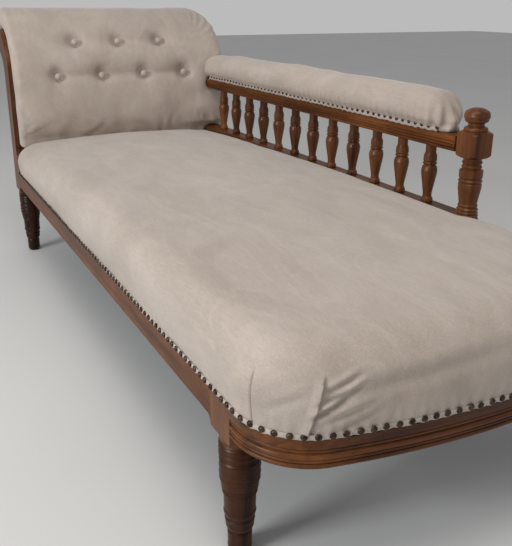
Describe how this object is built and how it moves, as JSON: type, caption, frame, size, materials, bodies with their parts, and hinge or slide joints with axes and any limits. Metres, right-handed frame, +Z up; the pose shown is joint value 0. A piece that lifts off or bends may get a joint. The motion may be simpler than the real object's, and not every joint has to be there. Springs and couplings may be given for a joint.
{
  "type": "fainting couch",
  "caption": "Upholstered fainting couch with a scrolled buttoned head, a spindle gallery with a padded arm along the back, a bowed foot and turned legs.",
  "frame": {"origin": "middle of the outline on the floor, below the seat", "axes": "+X from the head to the foot, +Y from the open front to the spindle gallery, +Z up"},
  "size_m": [1.83, 0.6742, 0.731],
  "materials": {
    "polished_wood": "french-polished reddish-brown hardwood, semi-gloss",
    "frame_wood": "unpolished pale frame wood",
    "velvet": "pale pinkish-beige velvet",
    "webbing": "woven jute webbing",
    "hessian": "coarse hessian",
    "spring_steel": "coppered spring wire",
    "dust_cloth": "black cotton dust cloth"
  },
  "bodies": {
    "root": {"front_seat_rail": "polished_wood", "back_seat_rail": "polished_wood", "foot_end_rail": "polished_wood", "head_seat_rail": "polished_wood", "front_head_leg": "polished_wood", "back_head_leg": "polished_wood", "front_foot_leg": "polished_wood", "back_foot_leg": "polished_wood", "front_head_stile": "polished_wood", "back_head_stile": "frame_wood", "head_top_bar": "frame_wood", "head_lower_rail": "frame_wood", "head_webbing": "webbing", "head_hessian": "hessian", "head_pad": "velvet", "head_buttons": "velvet", "outside_back_cover": "velvet", "gallery_base_rail": "polished_wood", "gallery_top_rail": "polished_wood", "gallery_end_post": "polished_wood", "spindle_01": "polished_wood", "spindle_02": "polished_wood", "spindle_03": "polished_wood", "spindle_04": "polished_wood", "spindle_05": "polished_wood", "spindle_06": "polished_wood", "spindle_07": "polished_wood", "spindle_08": "polished_wood", "spindle_09": "polished_wood", "spindle_10": "polished_wood", "spindle_11": "polished_wood", "spindle_12": "polished_wood", "arm_pad": "velvet", "seat_webbing": "webbing", "seat_springs": "spring_steel", "spring_hessian": "hessian", "seat_cushion": "velvet", "bottom_dust_cover": "dust_cloth"}
  },
  "joints": []
}
